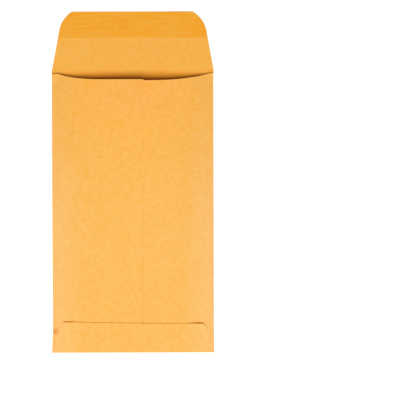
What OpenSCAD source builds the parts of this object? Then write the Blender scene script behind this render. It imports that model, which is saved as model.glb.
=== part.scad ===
// Small open-end envelope of orange-brown kraft paper, cut as one blank, folded and glued.
// It lies on its face: +X to the right, +Y toward the open seal flap, +Z up out of the back.
// Millimetres. The origin is under the middle of the whole opened envelope.

/* [Body] */
// Width of the body, from side fold to side fold
body_w = 79.8; // [60:0.1:120]
// Length of the body, from the bottom fold to the crease of the seal flap
body_h = 139; // [110:0.1:230]
// Thickness of the paper
paper_t = 0.14; // [0.1:0.01:0.3]
// Air between the face and the back where the pocket lies flat
flat_gap = 0.1; // [0.06:0.01:0.4]
// Depth by which two glued layers press into each other
glue_press = 0.02; // [0.01:0.005:0.04]

/* [Mouth] */
// Clear height of the open mouth at its middle
mouth_gape = 6; // [5:0.1:10]
// Height above the bottom fold where the back starts to rise toward the mouth
gape_foot = 22; // [18:0.5:60]
// How the rise grows toward the mouth, from 1 for straight to 3 for late and steep
gape_power = 1.5; // [1:0.1:3]
// How far the cut edge of the left panel lies below the crease, at the seam
left_throat_drop = 4.6; // [2:0.1:12]
// How far the cut edge of the right panel lies below the crease, at the seam
right_throat_drop = 5.1; // [2:0.1:12]
// How far the left side fold ends below the crease
left_shoulder_drop = 1.2; // [0.5:0.1:1.9]
// How far the right side fold ends below the crease
right_shoulder_drop = 0.8; // [0.5:0.1:1.9]
// How late the left cut edge curves up, from 2 for an even curve to 6 for a late one
left_throat_power = 4.4; // [2:0.1:6]
// How late the right cut edge curves up, from 2 for an even curve to 6 for a late one
right_throat_power = 3; // [2:0.1:6]
// Level stretch of the left cut edge beside the side fold
left_shoulder_level = 2.3; // [0.2:0.1:4]
// Level stretch of the right cut edge beside the side fold
right_shoulder_level = 0.2; // [0.2:0.1:4]
// How far the flat paper above each shoulder stands out past the side fold
shoulder_flare = 0.2; // [0.1:0.05:0.5]
// Width of the slit that frees the flat paper from the end of the side fold
shoulder_slit = 0.1; // [0.05:0.05:0.3]

/* [Seam] */
// Place of the seam's visible edge at the mouth, right of the middle
seam_top = 5.8; // [2:0.1:12]
// Place of the seam's visible edge at the bottom fold, right of the middle
seam_foot = 4.2; // [2:0.1:12]
// Width of the glued lap under the seam
seam_lap = 10; // [6:0.5:15]
// Width beyond the lap over which the right panel dips to pass under it
seam_ramp = 4; // [2:0.5:8]
// How far under the lap the right panel comes down to its lowest level
seam_tuck = 0.4; // [0.2:0.1:1]

/* [Bottom flap] */
// Depth of the bottom flap, from the bottom fold to its free edge
bottom_flap_depth = 14.6; // [10:0.1:17]
// How far the sides of the bottom flap stay inside the body
bottom_flap_inset = 0.7; // [0.3:0.1:3]
// Size of the cut corners of the bottom flap
bottom_flap_chamfer = 5; // [2:0.1:8]
// Radius between the side and the cut corner of the bottom flap
bottom_flap_round = 3.4; // [1:0.1:4]
// Angle by which the free edge of the bottom flap leans, deeper on the left
bottom_flap_lean = 0.8; // [0:0.1:1.5]
// Height of the cut lower edge of the two side panels above the bottom fold
panel_foot = 1; // [0.6:0.1:5]

/* [Seal flap] */
// Depth of the seal flap, from the crease to its straight free edge
flap_depth = 29.5; // [22:0.1:50]
// Angle by which the left side of the seal flap leans inward
left_flap_slope = 11; // [4:0.5:20]
// Angle by which the right side of the seal flap leans inward
right_flap_slope = 9; // [4:0.5:20]
// Radius of the corners of the seal flap
flap_round = 14; // [6:0.5:16]
// Angle at which a round corner meets the free edge, 90 where it would run into it smoothly
flap_round_end = 61.5; // [45:0.5:90]
// Depth of the dried gum band along the free edge
gum_depth = 13; // [8:0.5:20]
// Thickness of the dried gum
gum_t = 0.03; // [0.02:0.01:0.06]

/* [Hidden] */
$fn = 48;
kraft = [0.98, 0.73, 0.37];
dried_gum = [0.95, 0.65, 0.21];

// Straight pieces of a cut round, and cells of the two soft panels along and across the pocket
arc_steps = 16;
gape_rows = 10;
left_cells = 20;
lap_cells = 4;
ramp_cells = 4;
right_cells = 15;

half_w = body_w / 2;
whole_h = body_h + flap_depth;
gum_foot = whole_h - gum_depth;

// Undersides of the stacked layers, from the face up
lap_rise = paper_t - glue_press;
under_z = paper_t + flat_gap;
upper_z = under_z + lap_rise;
bottom_flap_z = upper_z + lap_rise;

// Outer radii of the folds, and how far each end of a fold runs on inside its flat layer
side_fold_r = (upper_z + paper_t) / 2;
bottom_fold_r = (bottom_flap_z + paper_t) / 2;
fold_tail = 0.5;

// How far the flat panels reach between the side folds, and the arch between their level borders
panel_half = half_w - side_fold_r;
arch_half = panel_half - fold_tail;

// Half the length of the crease, past the ends of the side folds
crease_half = half_w + shoulder_flare;

// Each cut edge: its height at the middle and at the shoulder, how late it curves up and to where
left_throat = [
    body_h - left_throat_drop,
    body_h - left_shoulder_drop,
    left_throat_power,
    arch_half - left_shoulder_level
];
right_throat = [
    body_h - right_throat_drop,
    body_h - right_shoulder_drop,
    right_throat_power,
    arch_half - right_shoulder_level
];

function soft_step(s) = let (c = min(1, max(0, s))) c * c * (3 - 2 * c);
function spread(from, to, cells) = [for (i = [0 : cells]) from + (to - from) * i / cells];
function tail(list) = [for (i = [1 : len(list) - 1]) list[i]];
function arc(centre, r, from, to) = [for (a = spread(from, to, arc_steps)) centre + r * [cos(a), sin(a)]];

// A side of an outline, given as on the right, turned into the left side that follows it
function mirrored(side) = [for (i = [len(side) - 1 : -1 : 0]) [-side[i][0], side[i][1]]];

// The seam's visible edge leans a little across the body
function seam_x(y) = seam_foot + (seam_top - seam_foot) * y / body_h;

// Cut edge of a side panel: level at the middle, curving up to the shoulder, level to the fold
function throat_y(x, throat) =
    throat[0] + (throat[1] - throat[0]) * pow(min(1, abs(x) / throat[3]), throat[2]);

// Rise of the back over the closed pocket: an arch across the mouth that fades downward
function rise(x, y) =
    let (along = max(0, y - gape_foot) / (left_throat[0] - gape_foot))
    mouth_gape * max(0, 1 - pow(x / arch_half, 2)) * pow(along, gape_power);

function left_columns(y) =
    concat([-panel_half, -arch_half], spread(-left_throat[3], seam_x(y), left_cells));
function right_columns(y) =
    let (seam = seam_x(y), ramp_start = seam - seam_tuck, ramp_end = seam + seam_ramp)
    concat(spread(seam - seam_lap, ramp_start, lap_cells),
           tail(spread(ramp_start, ramp_end, ramp_cells)),
           tail(spread(ramp_end, right_throat[3], right_cells)),
           [arch_half, panel_half]);

function left_under(x, y) = upper_z + rise(x, y);
function right_under(x, y) =
    let (share = (x - seam_x(y) + seam_tuck) / (seam_ramp + seam_tuck))
    under_z + lap_rise * soft_step(share) + rise(x, y);

// Heights of the rows of a panel at one column: its foot, then the rising stretch to the throat
function row_heights(x, throat) =
    concat([panel_foot], spread(gape_foot, throat_y(x, throat), gape_rows));

// Underside of the left panel and of the right one, as rows of points from left to right
left_grid = [for (r = [0 : gape_rows + 1])
    let (seam_h = row_heights(0, left_throat)[r])
    [for (x = left_columns(seam_h))
        let (y = row_heights(x, left_throat)[r])
        [x, y, left_under(x, y)]]];
right_grid = [for (r = [0 : gape_rows + 1])
    let (seam_h = row_heights(0, right_throat)[r])
    [for (x = right_columns(seam_h))
        let (y = row_heights(x, right_throat)[r])
        [x, y, right_under(x, y)]]];

// A soft sheet of paper, given as rows of points on its underside
module soft_sheet(grid) {
    rows = len(grid);
    cols = len(grid[0]);
    under = [for (row = grid) for (p = row) p];
    upper = [for (p = under) p + [0, 0, paper_t]];
    over = len(under);
    function at(r, c) = r * cols + c;
    flats = [for (r = [0 : rows - 2]) for (c = [0 : cols - 2])
        let (a = at(r, c), b = at(r + 1, c), d = at(r, c + 1), e = at(r + 1, c + 1))
        each [[over + a, over + b, over + e], [over + a, over + e, over + d], [a, e, b], [a, d, e]]];
    foot_and_throat = [for (c = [0 : cols - 2])
        let (a = at(0, c), d = at(0, c + 1), b = at(rows - 1, c), e = at(rows - 1, c + 1))
        each [[a, over + a, over + d, d], [b, e, over + e, over + b]]];
    sides = [for (r = [0 : rows - 2])
        let (a = at(r, 0), b = at(r + 1, 0), d = at(r, cols - 1), e = at(r + 1, cols - 1))
        each [[a, b, over + b, over + a], [d, over + d, over + e, e]]];
    polyhedron(concat(under, upper), concat(flats, foot_and_throat, sides));
}

// A half-round fold with a straight tail into each layer, from the origin along -Y, round to -X
module paper_fold(length, outer_r) {
    rotate([90, 0, 0])
        linear_extrude(length) {
            difference() {
                circle(outer_r);
                circle(outer_r - paper_t);
                translate([0, -2 * outer_r])
                    square([2 * outer_r, 4 * outer_r]);
            }
            for (layer_z = [-outer_r, outer_r - paper_t])
                translate([0, layer_z])
                    square([fold_tail, paper_t]);
        }
}

// The face between the folds, standing out past them above the ends of the side folds
module face_outline() {
    polygon([
        [-panel_half, bottom_fold_r],
        [panel_half, bottom_fold_r],
        [panel_half, right_throat[1] + shoulder_slit],
        [crease_half, right_throat[1] + shoulder_slit],
        [crease_half, body_h],
        [-crease_half, body_h],
        [-crease_half, left_throat[1] + shoulder_slit],
        [-panel_half, left_throat[1] + shoulder_slit]
    ]);
}

// Seal flap: leaning sides, large round corners and a straight free edge
module seal_flap_outline() {
    corner_y = whole_h - flap_round * sin(flap_round_end);
    function corner_x(slope) = crease_half - (corner_y - body_h) * tan(slope) - flap_round / cos(slope);
    function side(slope) = concat(
        [[crease_half, body_h]],
        arc([corner_x(slope), corner_y], flap_round, slope, flap_round_end)
    );
    polygon(concat(side(right_flap_slope), mirrored(side(left_flap_slope))));
}

// Bottom flap: straight sides, a round into a corner cut at 45 degrees, and a leaning free edge
module bottom_flap_outline() {
    side_x = half_w - bottom_flap_inset;
    edge_end = side_x - bottom_flap_chamfer;
    round_drop = bottom_flap_chamfer + bottom_flap_round * tan(22.5);
    function side(depth) = concat(
        [[side_x, bottom_fold_r]],
        arc([side_x - bottom_flap_round, depth - round_drop], bottom_flap_round, 0, 45),
        [[edge_end, depth]]
    );
    lean = edge_end * tan(bottom_flap_lean);
    polygon(concat(side(bottom_flap_depth - lean), mirrored(side(bottom_flap_depth + lean))));
}

// The whole blank, folded: face and seal flap, two side panels lapped at the seam, bottom flap
module envelope() {
    color(kraft)
        translate([0, -whole_h / 2, 0])
            union() {
                linear_extrude(paper_t) {
                    face_outline();
                    seal_flap_outline();
                }
                translate([-panel_half, left_throat[1], side_fold_r])
                    paper_fold(left_throat[1] - panel_foot, side_fold_r);
                mirror([1, 0, 0])
                    translate([-panel_half, right_throat[1], side_fold_r])
                        paper_fold(right_throat[1] - panel_foot, side_fold_r);
                soft_sheet(right_grid);
                soft_sheet(left_grid);
                translate([bottom_flap_inset - half_w, bottom_fold_r, bottom_fold_r])
                    rotate(90)
                        paper_fold(body_w - 2 * bottom_flap_inset, bottom_fold_r);
                translate([0, 0, bottom_flap_z])
                    linear_extrude(paper_t)
                        bottom_flap_outline();
            }
}

// Band of dried gum on the inner face of the seal flap, out to its edges
module flap_gum() {
    color(dried_gum)
        translate([0, -whole_h / 2, paper_t])
            linear_extrude(gum_t)
                intersection() {
                    seal_flap_outline();
                    translate([-crease_half, gum_foot])
                        square([2 * crease_half, gum_depth]);
                }
}

envelope();
flap_gum();
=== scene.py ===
import math

import bmesh
import bpy
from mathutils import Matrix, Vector, noise


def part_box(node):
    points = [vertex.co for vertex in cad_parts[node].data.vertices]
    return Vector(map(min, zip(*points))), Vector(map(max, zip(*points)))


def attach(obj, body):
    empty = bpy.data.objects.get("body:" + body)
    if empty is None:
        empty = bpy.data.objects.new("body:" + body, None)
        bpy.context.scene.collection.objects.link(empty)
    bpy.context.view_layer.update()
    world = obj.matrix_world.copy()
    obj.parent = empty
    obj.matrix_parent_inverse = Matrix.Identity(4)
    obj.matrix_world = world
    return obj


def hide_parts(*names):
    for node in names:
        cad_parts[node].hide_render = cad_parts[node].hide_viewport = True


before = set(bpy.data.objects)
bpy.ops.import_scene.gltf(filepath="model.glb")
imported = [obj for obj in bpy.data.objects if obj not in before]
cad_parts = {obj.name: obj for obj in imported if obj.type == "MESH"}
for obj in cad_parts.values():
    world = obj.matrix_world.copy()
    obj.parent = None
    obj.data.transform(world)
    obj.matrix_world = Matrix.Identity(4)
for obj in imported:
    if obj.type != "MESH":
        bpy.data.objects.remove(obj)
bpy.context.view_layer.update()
bpy.ops.object.select_all(action="DESELECT")

# The envelope: one blank of orange-brown kraft paper, cut, folded and glued by machine.
# The face lies on the table. The side panels fold in over it and lap at a glued seam, and the
# bottom flap folds up over them. The seal flap is still open, and the mouth gapes.
MM = 0.001
paper_t = 0.14 * MM
face_z = paper_t / 2
body_height = 139 * MM
shoulder_flare = 0.2 * MM
tip_past_box = 0.1 * MM
sheet_low, sheet_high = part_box("envelope")
crease_half = sheet_high.x
half_w = crease_half - shoulder_flare
foot = sheet_low.y
tip = sheet_high.y + tip_past_box
crease = foot + body_height

# Folds are half rounds: their radii are those of the middle of the paper
fold_steps = 6
fold_border = 0.15 * MM
side_fold_r = 0.18 * MM
bottom_fold_r = 0.2525 * MM
panel_half = half_w - side_fold_r - face_z
panel_z = face_z + 2 * side_fold_r
bottom_flap_z = face_z + 2 * bottom_fold_r
fold_line = foot + bottom_fold_r + face_z

# The sheet is worked as a net of small cells, and its edges are smoothed but for the sharp ones
face_columns = 32
face_rows = 68
panel_columns = 36
bottom_flap_rows = 8
arc_steps = 16
level_slack = 0.01 * MM
same_point = 0.0001 * MM
sharp_edge = math.radians(40)

# Mouth: the cut edges of the two panels, and how the back rises toward them
flat_by_fold = 0.5 * MM
arch_half = panel_half - flat_by_fold
panel_foot = foot + 1 * MM
gape_foot = foot + 22 * MM
mouth_gape = 5.5 * MM
gape_power = 1.5
arch_power = 2
# Right at the mouth the arch is fuller, more so on the right
left_fullness = 0.35
right_fullness = 0.75
fullness_power = 6
left_shoulder = crease - 1.2 * MM
right_shoulder = crease - 0.8 * MM
left_throat = crease - 4.45 * MM
right_throat = crease - 4.95 * MM
left_throat_power = 4.55
right_throat_power = 3.15
left_shoulder_level = 2.3 * MM
right_shoulder_level = 0.2 * MM
shoulder_slit = 0.1 * MM
lip_width = 0.6 * MM
throat_lip = 0.04 * MM
fold_spring = 0.4 * MM
fold_spring_length = 3 * MM
fold_spring_width = 5 * MM

# Seam: its visible edge leans a little, and the right panel dips to pass under the lap
seam_top = 5.8 * MM
seam_foot = 4.1 * MM
seam_bend = 0.7
seam_lap = 10 * MM
left_reach = panel_half + seam_foot
right_reach = panel_half - seam_foot + seam_lap
seam_ramp = 4 * MM
lap_dip = 0.145 * MM
# The edge turns up more at its foot: the two shares of the way up between which that changes
seam_lip_at_foot = 0.18 * MM
seam_lip_at_top = 0.06 * MM
seam_lip_fade_start = 0.35
seam_lip_fade_end = 0.65

# Seal flap: sides that lean inward, and round corners that meet the free edge at an angle
# Each side: which one, lean, how far its line starts past the crease's end, end of its round
seal_flap_sides = [
    (-1, math.radians(10.6), -0.1 * MM, math.radians(57.8)),
    (1, math.radians(10.3), 0.16 * MM, math.radians(61.5)),
]
flap_round = 13.8 * MM
flap_curl = 0.12 * MM
flap_curl_power = 1.7

# Bottom flap: its sides, its cut corners, and where its glue let go
bottom_flap_depth = 14.6 * MM
bottom_flap_inset = 0.7 * MM
bottom_flap_chamfer = 5 * MM
bottom_flap_round = 3.4 * MM
bottom_flap_lean = math.radians(0.8)
bottom_flap_lip = 0.05 * MM
bottom_flap_spring = 0.09 * MM
bottom_flap_loose = 3 * MM
chamfer_turn = math.radians(45)
round_drop = bottom_flap_chamfer + bottom_flap_round * math.tan(chamfer_turn / 2)
flap_side = half_w - bottom_flap_inset
edge_y = foot + bottom_flap_depth
edge_end = flap_side - bottom_flap_chamfer
edge_lean = edge_end * math.tan(bottom_flap_lean)
edge_across = (math.sin(bottom_flap_lean), math.cos(bottom_flap_lean))
# Each end of its free edge: which one, rise, where the rise starts across, and its length
bottom_flap_ends = [
    (-1, 0.2 * MM, 22 * MM, 8 * MM),
    (1, 0.37 * MM, 18 * MM, 16 * MM),
]
# Each lift: place across and above the bottom fold, spread both ways, height
bottom_flap_lifts = [
    (-31.9 * MM, 15 * MM, 3.6 * MM, 3 * MM, 0.35 * MM),
    (33 * MM, 14.4 * MM, 3.6 * MM, 3 * MM, 0.7 * MM),
    (-38.8 * MM, 9.9 * MM, 1.5 * MM, 1.5 * MM, 0.5 * MM),
]

# Left side fold: it bows in toward the bottom and flares at the corner, and the paper follows
side_bow = 0.24 * MM
side_bow_length = 60 * MM
corner_flare = 0.38 * MM
corner_flare_length = 7.5 * MM
side_give = 12 * MM

# Slack: the low waves that handled paper keeps, and the share of the way up where they are full
wave_height = 0.12 * MM
wave_length = 26 * MM
wave_slice = 0.4
slack_full = 0.5


def soft_step(share):
    """A share of the way, eased at both ends."""
    share = min(1, max(0, share))
    return share * share * (3 - 2 * share)


def wave(x, y):
    """Low unevenness of the paper, from none to its full height."""
    swell = noise.noise(Vector((x / wave_length, y / wave_length, wave_slice)))
    return wave_height * (0.5 + 0.5 * swell)


def flat_sheet(name, start_y, end_y, level, columns, rows):
    """Lay down a flat sheet that is as wide as the crease, as a net of cells."""
    bpy.ops.mesh.primitive_grid_add(
        x_subdivisions=columns,
        y_subdivisions=rows,
        size=1,
        location=(0, (start_y + end_y) / 2, level),
    )
    sheet = bpy.context.object
    sheet.name = name
    sheet.scale = (2 * crease_half, end_y - start_y, 1)
    bpy.ops.object.transform_apply(location=True, rotation=True, scale=True)
    return sheet


def choose(piece, kind, wanted):
    """In edit mode, select the faces or edges whose middle is wanted, and nothing else."""
    bpy.ops.mesh.select_mode(type=kind)
    bpy.ops.mesh.select_all(action="DESELECT")
    net = bmesh.from_edit_mesh(piece.data)
    for part in net.faces if kind == "FACE" else net.edges:
        middle = sum((corner.co for corner in part.verts), Vector()) / len(part.verts)
        if not part.hide and wanted(middle):
            part.select_set(True)
    bmesh.update_edit_mesh(piece.data)


def cut(piece, point, normal, trim=False, wanted=lambda middle: True):
    """Cut the wanted faces along an upright plane, and trim off what lies beyond it if asked."""
    choose(piece, "FACE", wanted)
    bpy.ops.mesh.bisect(
        plane_co=(point[0], point[1], 0),
        plane_no=(normal[0], normal[1], 0),
        threshold=same_point,
        clear_outer=trim,
    )


def trim_round(piece, side, centre, radius, start, end, wanted=lambda middle: True):
    """Trim one corner to a round stretch, in short straight cuts. Side is 1 for the right one."""
    step = (end - start) / arc_steps
    for i in range(arc_steps):
        angle = start + i * step
        x = side * (centre[0] + radius * math.cos(angle))
        y = centre[1] + radius * math.sin(angle)
        lean = (side * math.cos(angle + step / 2), math.sin(angle + step / 2))
        cut(piece, (x, y), lean, True, wanted)


def trim_seal_flap(piece):
    """Trim a sheet to the outline of the seal flap."""
    for side, slope, past, round_end in seal_flap_sides:
        side_x = crease_half + past
        corner_y = tip - flap_round * math.sin(round_end)
        corner_x = side_x - (corner_y - crease) * math.tan(slope) - flap_round / math.cos(slope)
        cut(piece, (side * side_x, crease), (side * math.cos(slope), math.sin(slope)), True)
        trim_round(piece, side, (corner_x, corner_y), flap_round, slope, round_end)


def fold_over(piece, along, centre, axis, reach, cells):
    """Turn the chosen edge half round a fold, then draw the new layer out over the sheet."""
    choose(piece, "EDGE", along)
    bpy.ops.mesh.spin(steps=fold_steps, angle=math.pi, center=centre, axis=axis)
    border = fold_border * reach.normalized()
    for step in [border] + cells * [(reach - border) / cells]:
        bpy.ops.mesh.extrude_region_move(TRANSFORM_OT_translate={"value": step})


def lay(piece, layer_z, place):
    """Move each point of the visible upper layer to where the soft paper comes to lie."""
    net = bmesh.from_edit_mesh(piece.data)
    for point in net.verts:
        if not point.hide and point.co.z > layer_z - level_slack:
            point.co = place(point.co)
    bmesh.update_edit_mesh(piece.data)


def hide_layer(piece, layer_z):
    """Hide the finished layer while the next one is worked."""
    choose(piece, "FACE", lambda middle: middle.z > layer_z - level_slack)
    bpy.ops.mesh.hide()


def give_thickness(piece, thickness, **settings):
    """Give a worked sheet its thickness, and smooth it."""
    body = piece.modifiers.new("thickness", "SOLIDIFY")
    body.thickness = thickness
    for name, value in settings.items():
        setattr(body, name, value)
    bpy.ops.object.modifier_apply(modifier=body.name)
    bpy.ops.object.shade_smooth_by_angle(angle=sharp_edge)


def seam_x(y):
    """How far across the seam's edge lies, at a place up the sheet."""
    return seam_foot + (seam_top - seam_foot) * ((y - foot) / (crease - foot)) ** seam_bend


def throat_y(x, middle, shoulder, power, level):
    """Cut edge of a side panel: level at the middle, curving up to the shoulder, level to the fold."""
    return middle + (shoulder - middle) * min(1, abs(x) / (arch_half - level)) ** power


def rise(x, y):
    """Rise of the back over the closed pocket: an arch across the mouth that fades downward."""
    along = max(0, y - gape_foot) / (left_throat - gape_foot)
    fullness = left_fullness if x < 0 else right_fullness
    across = max(0, 1 - abs(x / arch_half) ** (arch_power + fullness * along**fullness_power))
    slack = wave(x, y) * across * soft_step(along / slack_full)
    return mouth_gape * across * along**gape_power + slack


def lip(distance):
    """Share of its full height to which a cut edge turns up, by the distance from the edge."""
    return max(0, 1 - distance / lip_width)


def drawn_to_throat(y, throat, shoulder):
    """Draw in the rows of a panel, so that the topmost one follows the throat."""
    return panel_foot + (y - panel_foot) * (throat - panel_foot) / (shoulder - panel_foot)


def left_place(point):
    """The left panel laps over the seam, and its edge there turns up a little."""
    share = (point.x + panel_half) / left_reach
    x = share * (panel_half + seam_foot) - panel_half
    throat = throat_y(x, left_throat, left_shoulder, left_throat_power, left_shoulder_level)
    y = drawn_to_throat(point.y, throat, left_shoulder)
    x = share * (panel_half + seam_x(y)) - panel_half
    up_the_seam = (y - foot) / (crease - foot)
    fade_length = seam_lip_fade_end - seam_lip_fade_start
    faded_lip = soft_step((up_the_seam - seam_lip_fade_start) / fade_length)
    seam_lip = seam_lip_at_foot + (seam_lip_at_top - seam_lip_at_foot) * faded_lip
    turned_up = max(throat_lip * lip(throat - y), seam_lip * lip(seam_x(y) - x))
    return Vector((x, y, point.z + rise(x, y) + turned_up))


def right_place(point):
    """The right panel dips near the seam, to pass under the lap."""
    share = (panel_half - point.x) / right_reach
    x = panel_half - share * (panel_half - seam_foot + seam_lap)
    throat = throat_y(x, right_throat, right_shoulder, right_throat_power, right_shoulder_level)
    y = drawn_to_throat(point.y, throat, right_shoulder)
    x = panel_half - share * (panel_half - seam_x(y) + seam_lap)
    dip = lap_dip * soft_step((seam_x(y) + seam_ramp - x) / seam_ramp)
    return Vector((x, y, point.z + rise(x, y) - dip + throat_lip * lip(throat - y)))


def bottom_flap_place(point):
    """The bottom flap is glued down, but for its free edge and the corners where the glue let go.
    Both ends of its free edge lie a little nearer the mouth."""
    inward = edge_y - point.x * math.tan(bottom_flap_lean) - point.y
    loose = max(0, 1 - inward / bottom_flap_loose)
    height = point.z + bottom_flap_spring * loose**2 + bottom_flap_lip * lip(inward)
    for across, above, spread_x, spread_y, lift in bottom_flap_lifts:
        away_x = (point.x - across) / spread_x
        away_y = (point.y - foot - above) / spread_y
        height += lift * math.exp(-(away_x**2) - away_y**2)
    out = max(0, point.y - fold_line) / bottom_flap_depth
    y = point.y
    for side, end_rise, start, length in bottom_flap_ends:
        y += end_rise * out * soft_step((side * point.x - start) / length)
    return Vector((point.x, y, height))


def flap_lift(x, y):
    """The opened seal flap keeps a slight curl away from the table."""
    out = max(0, (y - crease) / (tip - crease))
    return flap_curl * out**flap_curl_power + wave(x, y) * soft_step(out)


def spring_open(x, y, z):
    """Near its cut end at the shoulder each side fold springs open a little."""
    shoulder = left_shoulder if x < 0 else right_shoulder
    along = soft_step(1 - (shoulder - y) / fold_spring_length)
    across = soft_step(1 - (half_w - abs(x)) / fold_spring_width)
    up = min(1, max(0, (z - face_z) / (2 * side_fold_r)))
    return fold_spring * along * across * up


def side_shift(x, y):
    """How far a point near the left side fold lies to the right of where a straight fold has it."""
    bow = side_bow * math.exp(-(((y - foot) / side_bow_length) ** 2))
    flare = corner_flare * math.exp(-(((y - foot) / corner_flare_length) ** 2))
    return (bow - flare) * soft_step((side_give - half_w - x) / side_give)


# Face and seal flap in one flat sheet
envelope = flat_sheet("kraft_envelope", fold_line, tip, face_z, face_columns, face_rows)
bpy.ops.object.mode_set(mode="EDIT")
for line_x in (panel_half - fold_border, panel_half, flap_side):
    cut(envelope, (line_x, 0), (1, 0))
    cut(envelope, (-line_x, 0), (1, 0))
for line_y in (fold_line + fold_border, panel_foot, crease):
    cut(envelope, (0, line_y), (0, 1))
for shoulder in (left_shoulder, right_shoulder):
    for line_y in (shoulder - lip_width, shoulder, shoulder + shoulder_slit):
        cut(envelope, (0, line_y), (0, 1))
trim_seal_flap(envelope)

# Below the shoulders the paper beyond the side folds turns up instead of lying flat
for side, shoulder in ((-1, left_shoulder), (1, right_shoulder)):
    choose(
        envelope,
        "FACE",
        lambda middle: side * middle.x > panel_half and panel_foot < middle.y < shoulder + shoulder_slit,
    )
    bpy.ops.mesh.delete(type="FACE")
    cut(envelope, (side * half_w, 0), (side, 0), True, lambda middle: middle.y < panel_foot)

# Beside the bottom flap the creased corners stay square, as far down as the fold reaches
choose(
    envelope,
    "EDGE",
    lambda middle: abs(middle.y - fold_line) < level_slack and abs(middle.x) > flap_side,
)
bpy.ops.mesh.extrude_region_move(TRANSFORM_OT_translate={"value": Vector((0, foot - fold_line, 0))})

# Right panel first, then the left one that laps over it, then the bottom flap over both
fold_over(
    envelope,
    lambda middle: abs(middle.x - panel_half) < level_slack and panel_foot < middle.y < right_shoulder,
    (panel_half, 0, face_z + side_fold_r),
    (0, 1, 0),
    Vector((-right_reach, 0, 0)),
    panel_columns,
)
lay(envelope, panel_z, right_place)
hide_layer(envelope, panel_z - lap_dip)

fold_over(
    envelope,
    lambda middle: abs(middle.x + panel_half) < level_slack and panel_foot < middle.y < left_shoulder,
    (-panel_half, 0, face_z + side_fold_r),
    (0, -1, 0),
    Vector((left_reach, 0, 0)),
    panel_columns,
)
cut(
    envelope,
    (seam_foot - lip_width, 0),
    (1, 0),
    False,
    lambda middle: middle.z > panel_z - level_slack,
)
lay(envelope, panel_z, left_place)
hide_layer(envelope, panel_z)

fold_over(
    envelope,
    lambda middle: abs(middle.y - fold_line) < level_slack and abs(middle.x) < flap_side,
    (0, fold_line, face_z + bottom_fold_r),
    (1, 0, 0),
    Vector((0, edge_y + 2 * edge_lean - fold_line, 0)),
    bottom_flap_rows,
)


def on_bottom_flap(middle):
    return middle.z > bottom_flap_z - level_slack


cut(envelope, (0, edge_y), edge_across, True, on_bottom_flap)
cut(envelope, (0, edge_y - lip_width), edge_across, False, on_bottom_flap)
for side, corner_y in ((-1, edge_y + edge_lean), (1, edge_y - edge_lean)):
    trim_round(
        envelope,
        side,
        (flap_side - bottom_flap_round, corner_y - round_drop),
        bottom_flap_round,
        0,
        chamfer_turn,
        on_bottom_flap,
    )
lay(envelope, bottom_flap_z, bottom_flap_place)
bpy.ops.mesh.reveal()
bpy.ops.mesh.select_all(action="SELECT")
bpy.ops.mesh.normals_make_consistent(inside=False)
bpy.ops.object.mode_set(mode="OBJECT")

for point in envelope.data.vertices:
    if point.co.y > crease:
        point.co.z += flap_lift(point.co.x, point.co.y)
    else:
        point.co.z += spring_open(*point.co)
    point.co.x += side_shift(point.co.x, point.co.y)

# The outside of the face looks down at the table
bpy.ops.object.mode_set(mode="EDIT")
net = bmesh.from_edit_mesh(envelope.data)
lowest = min(net.faces, key=lambda face: face.calc_center_median().z)
if lowest.normal.z > 0:
    bpy.ops.mesh.flip_normals()
bpy.ops.object.mode_set(mode="OBJECT")

# Places of a Mix node's two colours among its inputs, and of their mixture among its outputs
first_colour = 6
second_colour = 7
mixed_colour = 2

# Kraft paper. Each noise: its cells a millimetre across, along and upward, and its detail
streak_noise = ((0.09, 0.03, 0.1), 2.0)
cloud_noise = ((0.42, 0.45, 0.3), 3.0)
grain_noise = ((1.7, 1.7, 1.0), 3.0)
fibre_noise = ((9.0, 0.9, 1.0), 1.0)
cross_fibre_noise = ((1.1, 8.0, 1.0), 1.0)
# Noise goes both ways from half way, and so does the tone, from deep to pale
half_way = 0.5
cloud_weight = 1.7
grain_weight = 1.3
# The strongest fibres show as dark flecks
fleck_start = 0.66
fleck_full = 0.78
fleck_shade = 0.84
# Roughness goes with the grain, and grain and fibres stand up a little
grain_low = 0.3
grain_high = 0.7
paper_least_rough = 0.7
paper_most_rough = 0.86
grain_relief = 0.6
fibre_relief = 0.5
relief_strength = 0.35
relief_depth = 0.04 * MM
paper_specular = 0.25


def add_node(tree, kind, inputs=(), **settings):
    """Add one node, set its options, and fill or link its inputs."""
    made = tree.nodes.new(kind)
    for name, value in settings.items():
        setattr(made, name, value)
    for name, value in dict(inputs).items():
        if isinstance(value, bpy.types.NodeSocket):
            tree.links.new(value, made.inputs[name])
        else:
            made.inputs[name].default_value = value
    return made


def reckon(tree, operation, *values, **settings):
    """One step of arithmetic between values."""
    made = add_node(tree, "ShaderNodeMath", enumerate(values), operation=operation, **settings)
    return made.outputs[0]


def reckon_each(tree, operation, *values):
    """One step of arithmetic between places or colours, for each of their three numbers."""
    made = add_node(tree, "ShaderNodeVectorMath", enumerate(values), operation=operation)
    return made.outputs[0]


def mix_colours(tree, share, first, second, blend="MIX"):
    """Blend the second colour into the first, from not at all at nought to fully at one."""
    return add_node(
        tree,
        "ShaderNodeMix",
        {"Factor": share, first_colour: first, second_colour: second},
        data_type="RGBA",
        blend_type=blend,
    ).outputs[mixed_colour]


def ramp(tree, value, start, end, at_start, at_end, curve="LINEAR"):
    """A value that goes from one level to another, between two places, and is level past them."""
    return add_node(
        tree,
        "ShaderNodeMapRange",
        {"Value": value, "From Min": start, "From Max": end, "To Min": at_start, "To Max": at_end},
        interpolation_type=curve,
    ).outputs[0]


def soft_share(tree, value, nought_at, one_at, most=1.0, least=0.0):
    """A value that goes softly from its least to its most, from one place to the other."""
    return ramp(tree, value, nought_at, one_at, least, most, "SMOOTHSTEP")


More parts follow.
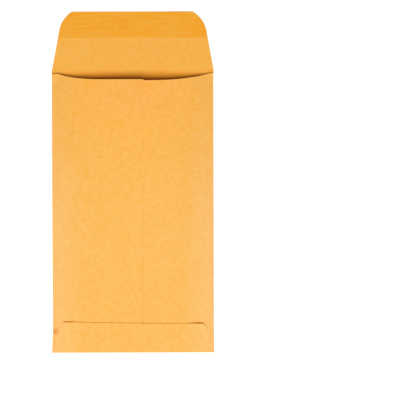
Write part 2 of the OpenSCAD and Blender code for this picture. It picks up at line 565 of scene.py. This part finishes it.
def scaled_noise(tree, position, cells, detail):
    """Soft noise on the sheet, with its own number of cells a millimetre each way."""
    stretched = reckon_each(tree, "MULTIPLY", position, cells)
    made = add_node(tree, "ShaderNodeTexNoise", {"Vector": stretched, "Scale": 1.0, "Detail": detail})
    return made.outputs["Fac"]


def weighted(tree, value, weight, total):
    """Add a noise, taken about half way and weighted, to a running total."""
    return reckon(tree, "MULTIPLY_ADD", reckon(tree, "SUBTRACT", value, half_way), weight, total)


def build_kraft_fibres():
    """Kraft paper: streaks along the web, cloudy formation, grain and dark fibres, in millimetres."""
    group = bpy.data.node_groups.new("kraft_fibres", "ShaderNodeTree")
    for name, kind in (
        ("Position", "NodeSocketVector"),
        ("Pale", "NodeSocketColor"),
        ("Deep", "NodeSocketColor"),
        ("Streaks", "NodeSocketFloat"),
    ):
        group.interface.new_socket(name=name, in_out="INPUT", socket_type=kind)
    for name, kind in (
        ("Colour", "NodeSocketColor"),
        ("Roughness", "NodeSocketFloat"),
        ("Normal", "NodeSocketVector"),
    ):
        group.interface.new_socket(name=name, in_out="OUTPUT", socket_type=kind)
    given = group.nodes.new("NodeGroupInput")
    put_out = group.nodes.new("NodeGroupOutput")
    position = given.outputs["Position"]

    streaks = scaled_noise(group, position, *streak_noise)
    cloud = scaled_noise(group, position, *cloud_noise)
    grain = scaled_noise(group, position, *grain_noise)
    fibres = scaled_noise(group, position, *fibre_noise)
    cross_fibres = scaled_noise(group, position, *cross_fibre_noise)
    all_fibres = reckon(group, "MAXIMUM", fibres, cross_fibres)

    tone = weighted(group, streaks, given.outputs["Streaks"], half_way)
    tone = weighted(group, cloud, cloud_weight, tone)
    tone = weighted(group, grain, grain_weight, tone)
    tone = add_node(group, "ShaderNodeClamp", {"Value": tone}).outputs[0]
    colour = mix_colours(group, tone, given.outputs["Deep"], given.outputs["Pale"])
    fleck = ramp(group, all_fibres, fleck_start, fleck_full, 1.0, fleck_shade)
    colour = reckon_each(group, "MULTIPLY", colour, fleck)
    rough = ramp(group, grain, grain_low, grain_high, paper_least_rough, paper_most_rough)
    height = weighted(group, grain, grain_relief, half_way)
    height = weighted(group, all_fibres, fibre_relief, height)
    relief = add_node(
        group,
        "ShaderNodeBump",
        {"Strength": relief_strength, "Distance": relief_depth, "Height": height},
    ).outputs[0]
    group.links.new(colour, put_out.inputs["Colour"])
    group.links.new(rough, put_out.inputs["Roughness"])
    group.links.new(relief, put_out.inputs["Normal"])
    return group


def place_kraft_fibres(tree, pale, deep, streaks):
    """Place the paper's group in a material, on Object coordinates in millimetres."""
    where = add_node(tree, "ShaderNodeTexCoord")
    in_mm = add_node(
        tree,
        "ShaderNodeMapping",
        {"Vector": where.outputs["Object"], "Scale": (1 / MM, 1 / MM, 1 / MM)},
    )
    return add_node(
        tree,
        "ShaderNodeGroup",
        node_tree=kraft_fibres,
        inputs={"Position": in_mm.outputs[0], "Pale": pale, "Deep": deep, "Streaks": streaks},
    )


def paper_material(name, pale, deep, streaks):
    """Matte kraft paper."""
    made = bpy.data.materials.new(name)
    made.use_nodes = True
    tree = made.node_tree
    shader = tree.nodes["Principled BSDF"]
    paper = place_kraft_fibres(tree, pale, deep, streaks)
    tree.links.new(paper.outputs["Colour"], shader.inputs["Base Color"])
    tree.links.new(paper.outputs["Roughness"], shader.inputs["Roughness"])
    tree.links.new(paper.outputs["Normal"], shader.inputs["Normal"])
    shader.inputs["Specular IOR Level"].default_value = paper_specular
    return made


def place_on_sheet(tree):
    """Places on the sheet, as three separate values."""
    where = add_node(tree, "ShaderNodeTexCoord")
    return add_node(tree, "ShaderNodeSeparateXYZ", {0: where.outputs["Object"]}).outputs


def tint(tree, mask, colour, blend="MULTIPLY"):
    """Tint the material's colour as far as the mask says."""
    target = tree.nodes["Principled BSDF"].inputs["Base Color"]
    own = target.links[0].from_socket
    tree.links.new(mix_colours(tree, mask, own, colour, blend), target)


def paint_sheen_and_light(tree):
    """Paint the outside paler toward its side folds and its bottom, least at the mouth: painted sheen
    toward the sides and painted light toward the bottom.
    """
    place = place_on_sheet(tree)
    side = soft_share(tree, reckon(tree, "ABSOLUTE", place["X"]), side_sheen_start, side_sheen_full)
    down = soft_share(tree, place["Y"], left_throat, left_throat - painted_light_depth)
    side_strength = soft_share(tree, down, 0.0, 1.0, side_sheen_at_sides, side_sheen_at_mouth)
    overall = reckon(tree, "MULTIPLY", down, painted_light_overall)
    painted_paleness = reckon(tree, "MULTIPLY_ADD", side, side_strength, overall)
    tint(tree, painted_paleness, white, "MIX")
    tint(tree, down, painted_light_tint)


def spot(tree, centre, spread):
    """One soft spot on the sheet, round or long."""
    where = add_node(tree, "ShaderNodeTexCoord")
    off = reckon_each(tree, "SUBTRACT", where.outputs["Object"], centre)
    share = reckon_each(tree, "DIVIDE", off, spread)
    out = add_node(tree, "ShaderNodeVectorMath", {0: share}, operation="LENGTH")
    return soft_share(tree, out.outputs["Value"], 1.0, 0.0)


def paint_edge_shade_line(tree):
    """A thin line of deeper colour along the bottom flap's free edge: painted shade where that edge
    stands off the panels beneath.
    """
    place = place_on_sheet(tree)
    level = reckon(tree, "MULTIPLY_ADD", place["X"], math.tan(bottom_flap_lean), place["Y"])
    for side, end_rise, start, length in bottom_flap_ends:
        raised = soft_share(tree, place["X"], side * start, side * (start + length), end_rise)
        level = reckon(tree, "SUBTRACT", level, raised)
    above = reckon(tree, "SUBTRACT", level, edge_y + edge_shade_above)
    away = reckon(tree, "ABSOLUTE", above)
    out = reckon(tree, "ABSOLUTE", place["X"])
    along = soft_share(tree, out, edge_end + edge_shade_end, edge_end)
    tint(tree, soft_share(tree, away, edge_shade_width, 0.0, along), edge_shade_colour)


def paint_pocket_shade(tree):
    """Toward the mouth the paper inside the pocket is painted a deeper colour: painted shade."""
    place = place_on_sheet(tree)
    tint(tree, soft_share(tree, place["Y"], pocket_shade_start, pocket_shade_full), pocket_shade_colour)


kraft_fibres = build_kraft_fibres()
outer_pale = (0.969, 0.497, 0.111, 1)
outer_deep = (0.954, 0.4275, 0.046, 1)
outer_streaks = 0.3
inner_pale = (0.955, 0.479, 0.092, 1)
inner_deep = (0.935, 0.427, 0.046, 1)
inner_streaks = 0.5
edge_pale = (0.98, 0.52, 0.13, 1)
edge_deep = (0.94, 0.44, 0.06, 1)
edge_streaks = 0.3
# Painted sheen makes the outside paler toward its side folds, and painted light makes it paler toward
# its bottom
side_sheen_start = 0.58 * half_w
side_sheen_full = 0.95 * half_w
painted_light_depth = 85 * MM
side_sheen_at_mouth = 0.012
side_sheen_at_sides = 0.048
painted_light_overall = 0.022
painted_light_tint = (1.0, 1.042, 1.06, 1)
white = (1, 1, 1, 1)
# Painted shade: a thin line of deeper colour along the bottom flap's free edge
edge_shade_width = 0.42 * MM
edge_shade_above = 0.12 * MM
edge_shade_end = 1 * MM
edge_shade_colour = (1.0, 0.8, 0.54, 1)
# Painted shade: a deeper colour inside the pocket toward the mouth
pocket_shade_colour = (1.0, 0.8, 0.3, 1)
pocket_shade_start = left_throat + 6.5 * MM
pocket_shade_full = left_throat + 1.5 * MM
# Each tinted spot: place across and above the bottom fold, spread both ways, colour.
# The middle below the mouth, a little deeper. Painted shade at the two lifted ends of the bottom flap's
# free edge. A painted shadow beneath its lifted lower left corner, and two darker, pinker marks along
# the left side fold near the bottom.
tint_and_shade_spots = [
    (3 * MM, 131 * MM, 38 * MM, 28 * MM, (1.0, 0.953, 1.0, 1)),
    (-31.5 * MM, 15.3 * MM, 4.5 * MM, 0.9 * MM, (1.0, 0.8, 0.45, 1)),
    (32.5 * MM, 14.6 * MM, 5.5 * MM, 0.9 * MM, (1.0, 0.78, 0.42, 1)),
    (-38.3 * MM, 10.5 * MM, 2.4 * MM, 2.3 * MM, (0.88, 0.68, 0.55, 1)),
    (-38.8 * MM, 11.5 * MM, 3.2 * MM, 6 * MM, (1.0, 0.92, 0.88, 1)),
    (-39.2 * MM, 5 * MM, 1.3 * MM, 6 * MM, (0.99, 0.86, 0.74, 1)),
]
outside = paper_material("kraft_outside", outer_pale, outer_deep, outer_streaks)
# Painted sheen toward the side folds and painted light toward the bottom
paint_sheen_and_light(outside.node_tree)
# Painted shade along the bottom flap's free edge
paint_edge_shade_line(outside.node_tree)
# Tints, with painted shade at the bottom flap's lifted ends and a painted shadow at its lower left
# corner
for across, above, spread_x, spread_y, colour in tint_and_shade_spots:
    centre = (across, foot + above, 0)
    mask = spot(outside.node_tree, centre, (spread_x, spread_y, 1))
    tint(outside.node_tree, mask, colour)
inside = paper_material("kraft_inside", inner_pale, inner_deep, inner_streaks)
# Painted shade inside the pocket
paint_pocket_shade(inside.node_tree)
cut_edge = paper_material("kraft_cut_edge", edge_pale, edge_deep, edge_streaks)
for paper in (outside, inside, cut_edge):
    envelope.data.materials.append(paper)

# The outside has the first material, the inside the next, and the cut edges the one after
give_thickness(
    envelope,
    paper_t,
    offset=0,
    use_even_offset=True,
    material_offset=1,
    material_offset_rim=2,
)
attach(envelope, "root")
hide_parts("envelope")
bpy.ops.object.select_all(action="DESELECT")

# Dried gum: a thin amber band on the inner face of the seal flap, out to its free edge.
# A roller puts it on wet, so it dries in faint streaks across the flap, with a soft lower edge.
gum_low, gum_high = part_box("flap_gum")
gum_t = gum_high.z - gum_low.z
gum_bed = 0.01 * MM
gum_columns = 64
gum_rows = 12
gum_thin_edge = 1.5 * MM
gum_edge_wander = 0.25 * MM
gum_edge_length = 5 * MM
gum_edge_slice = 0.7
gum_foot = gum_low.y - gum_thin_edge / 2

gum = flat_sheet("dried_gum_band", gum_foot, tip, paper_t - gum_bed, gum_columns, gum_rows)
bpy.ops.object.mode_set(mode="EDIT")
trim_seal_flap(gum)
bpy.ops.object.mode_set(mode="OBJECT")
for point in gum.data.vertices:
    x, y, z = point.co
    fade = 1 - (y - gum_foot) / (tip - gum_foot)
    wander = gum_edge_wander * noise.noise(Vector((x / gum_edge_length, gum_edge_slice, 0)))
    point.co.z += flap_lift(x, y)
    point.co.y += wander * fade * fade
give_thickness(gum, gum_t + gum_bed, offset=1)

# Amber, pale and deep, and the tints where its coat is thin and where it is thick
gum_pale = (0.92, 0.394, 0.021, 1)
gum_deep = (0.9, 0.366, 0.009, 1)
gum_thin = (1.0, 1.06, 2.0, 1)
gum_thick = (1.0, 0.93, 0.3, 1)
gum_paper_streaks = 0.3
gum_specular = 0.3
# The roller's streaks as a noise, and its levels between which the coat and its sheen change
roller_noise = ((0.08, 0.85, 0.1), 3.0)
thin_start = 0.4
thin_full = 0.7
thick_start = 0.6
thick_full = 0.3
sheen_start = 0.3
sheen_full = 0.7
gum_least_rough = 0.38
gum_most_rough = 0.5
ridge_strength = 0.3
ridge_depth = 0.03 * MM


def gum_material():
    """Amber gum over kraft paper: thicker and darker in streaks, with a satin sheen."""
    made = bpy.data.materials.new("dried_gum")
    made.use_nodes = True
    tree = made.node_tree
    shader = tree.nodes["Principled BSDF"]
    on_sheet = place_on_sheet(tree)
    coated = soft_share(tree, on_sheet["Y"], gum_foot, gum_foot + gum_thin_edge)
    pale = mix_colours(tree, coated, inner_pale, gum_pale)
    deep = mix_colours(tree, coated, inner_deep, gum_deep)
    paper = place_kraft_fibres(tree, pale, deep, gum_paper_streaks)
    tree.links.new(paper.outputs["Colour"], shader.inputs["Base Color"])
    position = paper.inputs["Position"].links[0].from_socket
    streaks = scaled_noise(tree, position, *roller_noise)
    tint(tree, soft_share(tree, streaks, thin_start, thin_full, coated), gum_thin)
    tint(tree, soft_share(tree, streaks, thick_start, thick_full, coated), gum_thick)
    sheen = soft_share(tree, streaks, sheen_start, sheen_full, gum_least_rough, gum_most_rough)
    ridges = add_node(
        tree,
        "ShaderNodeBump",
        {
            "Strength": ridge_strength,
            "Distance": ridge_depth,
            "Height": streaks,
            "Normal": paper.outputs["Normal"],
        },
    ).outputs[0]
    tree.links.new(sheen, shader.inputs["Roughness"])
    tree.links.new(ridges, shader.inputs["Normal"])
    shader.inputs["Specular IOR Level"].default_value = gum_specular
    return made


gum.data.materials.append(gum_material())
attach(gum, "root")
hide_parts("flap_gum")
bpy.ops.object.select_all(action="DESELECT")

# The table, light and camera: a white table seen from straight above, with a broad soft lamp
# toward the bottom fold, so that the mouth's edge shades the face behind it.
scene = bpy.context.scene
scene.view_settings.view_transform = "Standard"
table_width = 4
table_drop = 0.02 * MM
table_grey = (0.8, 0.8, 0.8, 1)
table_lift = 0.42
ambient = 0.065
lamp_power = 37.2
lamp_distance = 1.8
lamp_height_angle = math.radians(65)
lamp_side = -0.05
lamp_width = 1.35
lamp_depth = 1.0
view_height = 0.5715
view_x = 37.13 * MM
view_y = -12.85 * MM
view_turn = math.radians(-0.15)
view_lens = 100
view_sensor = 36


def seen_directly(tree):
    """One for rays that look at the surface themselves or in a mirror, nought for its light."""
    path = add_node(tree, "ShaderNodeLightPath").outputs
    mirror = reckon(tree, "ADD", path["Is Glossy Ray"], path["Is Transmission Ray"])
    return reckon(tree, "ADD", path["Is Camera Ray"], mirror, use_clamp=True)


bpy.ops.mesh.primitive_plane_add(size=table_width, location=(0, 0, -table_drop))
table = bpy.context.object
table.name = "table"
table_paint = bpy.data.materials.new("table_white")
table_paint.use_nodes = True
tree = table_paint.node_tree
tree.nodes.remove(tree.nodes["Principled BSDF"])
matte = add_node(tree, "ShaderNodeBsdfDiffuse", {"Color": table_grey})
strength = reckon(tree, "MULTIPLY", seen_directly(tree), table_lift)
lift = add_node(tree, "ShaderNodeEmission", {"Strength": strength})
both = add_node(tree, "ShaderNodeAddShader", {0: matte.outputs[0], 1: lift.outputs[0]})
tree.links.new(both.outputs[0], tree.nodes["Material Output"].inputs["Surface"])
table.data.materials.append(table_paint)

scene.world = bpy.data.worlds.new("studio")
scene.world.use_nodes = True
tree = scene.world.node_tree
glow = ramp(tree, seen_directly(tree), 0.0, 1.0, ambient, 1.0)
tree.nodes["Background"].inputs["Color"].default_value = white
tree.links.new(glow, tree.nodes["Background"].inputs["Strength"])

lamp_y = -lamp_distance * math.cos(lamp_height_angle)
lamp_z = lamp_distance * math.sin(lamp_height_angle)
bpy.ops.object.light_add(type="AREA", location=(lamp_side, lamp_y, lamp_z))
lamp = bpy.context.object
lamp.name = "soft_lamp"
lamp.data.shape = "RECTANGLE"
lamp.data.size = lamp_width
lamp.data.size_y = lamp_depth
lamp.data.energy = lamp_power
lamp.rotation_euler = (-Vector(lamp.location)).to_track_quat("-Z", "Y").to_euler()

bpy.ops.object.camera_add(location=(view_x, view_y, view_height), rotation=(0, 0, view_turn))
camera = bpy.context.object
camera.data.lens = view_lens
camera.data.sensor_width = view_sensor
scene.camera = camera
